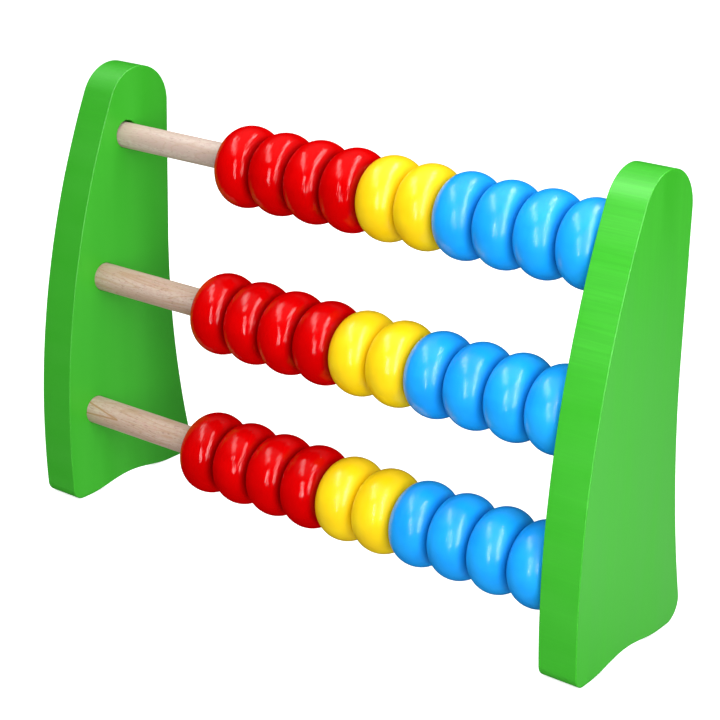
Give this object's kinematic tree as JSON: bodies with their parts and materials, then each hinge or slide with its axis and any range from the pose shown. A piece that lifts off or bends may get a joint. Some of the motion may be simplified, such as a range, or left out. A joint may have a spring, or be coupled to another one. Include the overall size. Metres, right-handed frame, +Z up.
{
  "type": "abacus",
  "caption": "Wooden counting abacus: two curved green end panels joined by dowels that carry rows of sliding red, yellow and blue ring beads.",
  "frame": {"origin": "middle of the footprint, on the surface that the feet stand on", "axes": "+X along the dowels from the left panel to the right panel, -Y to the front where the panels bulge, +Z up"},
  "size_m": [0.25, 0.0692, 0.17],
  "materials": {
    "green_paint": "satin green paint over solid wood",
    "bare_wood": "sanded, unfinished beech",
    "red_lacquer": "gloss lacquer over turned wood",
    "yellow_lacquer": "gloss lacquer over turned wood",
    "blue_lacquer": "gloss lacquer over turned wood"
  },
  "bodies": {
    "frame": {"left_panel": "green_paint", "right_panel": "green_paint", "top_rod": "bare_wood", "middle_rod": "bare_wood", "bottom_rod": "bare_wood"},
    "top_blue_bead_4": {"top_blue_bead_4": "blue_lacquer"},
    "top_blue_bead_3": {"top_blue_bead_3": "blue_lacquer"},
    "top_blue_bead_2": {"top_blue_bead_2": "blue_lacquer"},
    "top_blue_bead_1": {"top_blue_bead_1": "blue_lacquer"},
    "top_yellow_bead_2": {"top_yellow_bead_2": "yellow_lacquer"},
    "top_yellow_bead_1": {"top_yellow_bead_1": "yellow_lacquer"},
    "top_red_bead_4": {"top_red_bead_4": "red_lacquer"},
    "top_red_bead_3": {"top_red_bead_3": "red_lacquer"},
    "top_red_bead_2": {"top_red_bead_2": "red_lacquer"},
    "top_red_bead_1": {"top_red_bead_1": "red_lacquer"},
    "middle_blue_bead_4": {"middle_blue_bead_4": "blue_lacquer"},
    "middle_blue_bead_3": {"middle_blue_bead_3": "blue_lacquer"},
    "middle_blue_bead_2": {"middle_blue_bead_2": "blue_lacquer"},
    "middle_blue_bead_1": {"middle_blue_bead_1": "blue_lacquer"},
    "middle_yellow_bead_2": {"middle_yellow_bead_2": "yellow_lacquer"},
    "middle_yellow_bead_1": {"middle_yellow_bead_1": "yellow_lacquer"},
    "middle_red_bead_4": {"middle_red_bead_4": "red_lacquer"},
    "middle_red_bead_3": {"middle_red_bead_3": "red_lacquer"},
    "middle_red_bead_2": {"middle_red_bead_2": "red_lacquer"},
    "middle_red_bead_1": {"middle_red_bead_1": "red_lacquer"},
    "bottom_blue_bead_4": {"bottom_blue_bead_4": "blue_lacquer"},
    "bottom_blue_bead_3": {"bottom_blue_bead_3": "blue_lacquer"},
    "bottom_blue_bead_2": {"bottom_blue_bead_2": "blue_lacquer"},
    "bottom_blue_bead_1": {"bottom_blue_bead_1": "blue_lacquer"},
    "bottom_yellow_bead_2": {"bottom_yellow_bead_2": "yellow_lacquer"},
    "bottom_yellow_bead_1": {"bottom_yellow_bead_1": "yellow_lacquer"},
    "bottom_red_bead_4": {"bottom_red_bead_4": "red_lacquer"},
    "bottom_red_bead_3": {"bottom_red_bead_3": "red_lacquer"},
    "bottom_red_bead_2": {"bottom_red_bead_2": "red_lacquer"},
    "bottom_red_bead_1": {"bottom_red_bead_1": "red_lacquer"}
  },
  "joints": [
    {"name": "top_blue_bead_4_slide", "type": "slide", "parent": "frame", "child": "top_blue_bead_4", "axis": [-1, 0, 0], "range_m": [0, 0.0055]},
    {"name": "top_blue_bead_3_slide", "type": "slide", "parent": "top_blue_bead_4", "child": "top_blue_bead_3", "axis": [-1, 0, 0], "range_m": [0, 0.0055]},
    {"name": "top_blue_bead_2_slide", "type": "slide", "parent": "top_blue_bead_3", "child": "top_blue_bead_2", "axis": [-1, 0, 0], "range_m": [0, 0.0055]},
    {"name": "top_blue_bead_1_slide", "type": "slide", "parent": "top_blue_bead_2", "child": "top_blue_bead_1", "axis": [-1, 0, 0], "range_m": [0, 0.0055]},
    {"name": "top_yellow_bead_2_slide", "type": "slide", "parent": "top_blue_bead_1", "child": "top_yellow_bead_2", "axis": [-1, 0, 0], "range_m": [0, 0.0055]},
    {"name": "top_yellow_bead_1_slide", "type": "slide", "parent": "top_yellow_bead_2", "child": "top_yellow_bead_1", "axis": [-1, 0, 0], "range_m": [0, 0.0055]},
    {"name": "top_red_bead_4_slide", "type": "slide", "parent": "top_yellow_bead_1", "child": "top_red_bead_4", "axis": [-1, 0, 0], "range_m": [0, 0.0055]},
    {"name": "top_red_bead_3_slide", "type": "slide", "parent": "top_red_bead_4", "child": "top_red_bead_3", "axis": [-1, 0, 0], "range_m": [0, 0.0055]},
    {"name": "top_red_bead_2_slide", "type": "slide", "parent": "top_red_bead_3", "child": "top_red_bead_2", "axis": [-1, 0, 0], "range_m": [0, 0.0055]},
    {"name": "top_red_bead_1_slide", "type": "slide", "parent": "top_red_bead_2", "child": "top_red_bead_1", "axis": [-1, 0, 0], "range_m": [0, 0.0055]},
    {"name": "middle_blue_bead_4_slide", "type": "slide", "parent": "frame", "child": "middle_blue_bead_4", "axis": [-1, 0, 0], "range_m": [0, 0.0055]},
    {"name": "middle_blue_bead_3_slide", "type": "slide", "parent": "middle_blue_bead_4", "child": "middle_blue_bead_3", "axis": [-1, 0, 0], "range_m": [0, 0.0055]},
    {"name": "middle_blue_bead_2_slide", "type": "slide", "parent": "middle_blue_bead_3", "child": "middle_blue_bead_2", "axis": [-1, 0, 0], "range_m": [0, 0.0055]},
    {"name": "middle_blue_bead_1_slide", "type": "slide", "parent": "middle_blue_bead_2", "child": "middle_blue_bead_1", "axis": [-1, 0, 0], "range_m": [0, 0.0055]},
    {"name": "middle_yellow_bead_2_slide", "type": "slide", "parent": "middle_blue_bead_1", "child": "middle_yellow_bead_2", "axis": [-1, 0, 0], "range_m": [0, 0.0055]},
    {"name": "middle_yellow_bead_1_slide", "type": "slide", "parent": "middle_yellow_bead_2", "child": "middle_yellow_bead_1", "axis": [-1, 0, 0], "range_m": [0, 0.0055]},
    {"name": "middle_red_bead_4_slide", "type": "slide", "parent": "middle_yellow_bead_1", "child": "middle_red_bead_4", "axis": [-1, 0, 0], "range_m": [0, 0.0055]},
    {"name": "middle_red_bead_3_slide", "type": "slide", "parent": "middle_red_bead_4", "child": "middle_red_bead_3", "axis": [-1, 0, 0], "range_m": [0, 0.0055]},
    {"name": "middle_red_bead_2_slide", "type": "slide", "parent": "middle_red_bead_3", "child": "middle_red_bead_2", "axis": [-1, 0, 0], "range_m": [0, 0.0055]},
    {"name": "middle_red_bead_1_slide", "type": "slide", "parent": "middle_red_bead_2", "child": "middle_red_bead_1", "axis": [-1, 0, 0], "range_m": [0, 0.0055]},
    {"name": "bottom_blue_bead_4_slide", "type": "slide", "parent": "frame", "child": "bottom_blue_bead_4", "axis": [-1, 0, 0], "range_m": [0, 0.0055]},
    {"name": "bottom_blue_bead_3_slide", "type": "slide", "parent": "bottom_blue_bead_4", "child": "bottom_blue_bead_3", "axis": [-1, 0, 0], "range_m": [0, 0.0055]},
    {"name": "bottom_blue_bead_2_slide", "type": "slide", "parent": "bottom_blue_bead_3", "child": "bottom_blue_bead_2", "axis": [-1, 0, 0], "range_m": [0, 0.0055]},
    {"name": "bottom_blue_bead_1_slide", "type": "slide", "parent": "bottom_blue_bead_2", "child": "bottom_blue_bead_1", "axis": [-1, 0, 0], "range_m": [0, 0.0055]},
    {"name": "bottom_yellow_bead_2_slide", "type": "slide", "parent": "bottom_blue_bead_1", "child": "bottom_yellow_bead_2", "axis": [-1, 0, 0], "range_m": [0, 0.0055]},
    {"name": "bottom_yellow_bead_1_slide", "type": "slide", "parent": "bottom_yellow_bead_2", "child": "bottom_yellow_bead_1", "axis": [-1, 0, 0], "range_m": [0, 0.0055]},
    {"name": "bottom_red_bead_4_slide", "type": "slide", "parent": "bottom_yellow_bead_1", "child": "bottom_red_bead_4", "axis": [-1, 0, 0], "range_m": [0, 0.0055]},
    {"name": "bottom_red_bead_3_slide", "type": "slide", "parent": "bottom_red_bead_4", "child": "bottom_red_bead_3", "axis": [-1, 0, 0], "range_m": [0, 0.0055]},
    {"name": "bottom_red_bead_2_slide", "type": "slide", "parent": "bottom_red_bead_3", "child": "bottom_red_bead_2", "axis": [-1, 0, 0], "range_m": [0, 0.0055]},
    {"name": "bottom_red_bead_1_slide", "type": "slide", "parent": "bottom_red_bead_2", "child": "bottom_red_bead_1", "axis": [-1, 0, 0], "range_m": [0, 0.0055]}
  ]
}
